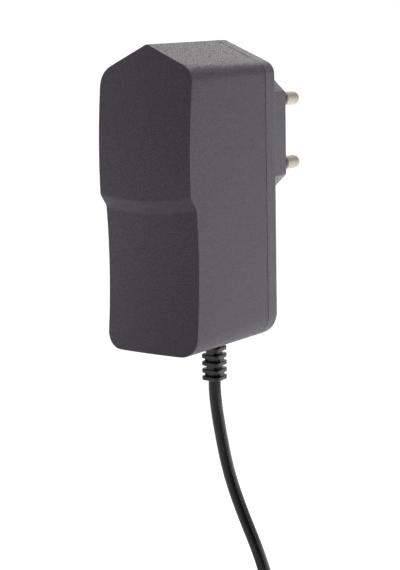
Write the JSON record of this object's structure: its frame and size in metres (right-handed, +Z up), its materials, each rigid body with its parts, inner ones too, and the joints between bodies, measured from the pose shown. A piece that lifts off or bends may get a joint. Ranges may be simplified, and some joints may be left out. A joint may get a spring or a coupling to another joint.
{
  "type": "power adapter",
  "caption": "Plug-in mains adapter: tall dark grey gabled housing with a stepped front, round-pin plug behind, ribbed strain relief and a thin output cord with a barrel plug.",
  "frame": {"origin": "centre of the plug's end face, between the two pins", "axes": "+Y along the pins into the socket, so the front faces -Y; +Z up; X across the width"},
  "size_m": [0.0553, 0.0799, 0.2522],
  "materials": {
    "housing_plastic": "fine grained",
    "relief_vinyl": "satin",
    "cord_vinyl": "satin",
    "sleeve_plastic": "satin",
    "nickel": "plated, satin",
    "board_laminate": "matte",
    "ferrite": "matte, sintered",
    "bobbin_plastic": "matte",
    "winding_tape": "glossy tape",
    "capacitor_sleeve": "glossy sleeve",
    "epoxy": "moulded, matte",
    "disc_coating": "dipped coating",
    "resistor_coating": "lacquered",
    "tie_plastic": "satin",
    "red_insulation": "satin",
    "black_insulation": "satin",
    "blue_insulation": "satin",
    "brown_insulation": "satin"
  },
  "bodies": {
    "root": {"front_shell": "housing_plastic", "back_cover": "housing_plastic", "plug_pin_line": "nickel", "plug_pin_neutral": "nickel", "pin_sleeve_line": "sleeve_plastic", "pin_sleeve_neutral": "sleeve_plastic", "strain_relief": "relief_vinyl", "dc_cord": "cord_vinyl", "cord_coil": "cord_vinyl", "cord_tail": "cord_vinyl", "cord_tie": "tie_plastic", "dc_plug_grip": "relief_vinyl", "dc_plug_barrel": "nickel", "dc_plug_insulator": "black_insulation", "dc_plug_contact": "nickel", "circuit_board": "board_laminate", "fuse_resistor": "resistor_coating", "bridge_rectifier": "epoxy", "bulk_capacitor_1": "capacitor_sleeve", "bulk_capacitor_2": "capacitor_sleeve", "filter_inductor": "ferrite", "controller": "epoxy", "transformer_core_front": "ferrite", "transformer_core_rear": "ferrite", "transformer_bobbin": "bobbin_plastic", "transformer_winding": "winding_tape", "safety_capacitor": "disc_coating", "optocoupler": "epoxy", "output_diode": "epoxy", "output_capacitor_1": "capacitor_sleeve", "output_capacitor_2": "capacitor_sleeve", "output_inductor": "ferrite", "input_wire_line": "brown_insulation", "input_wire_neutral": "blue_insulation", "output_wire_positive": "red_insulation", "output_wire_negative": "black_insulation"}
  },
  "joints": []
}
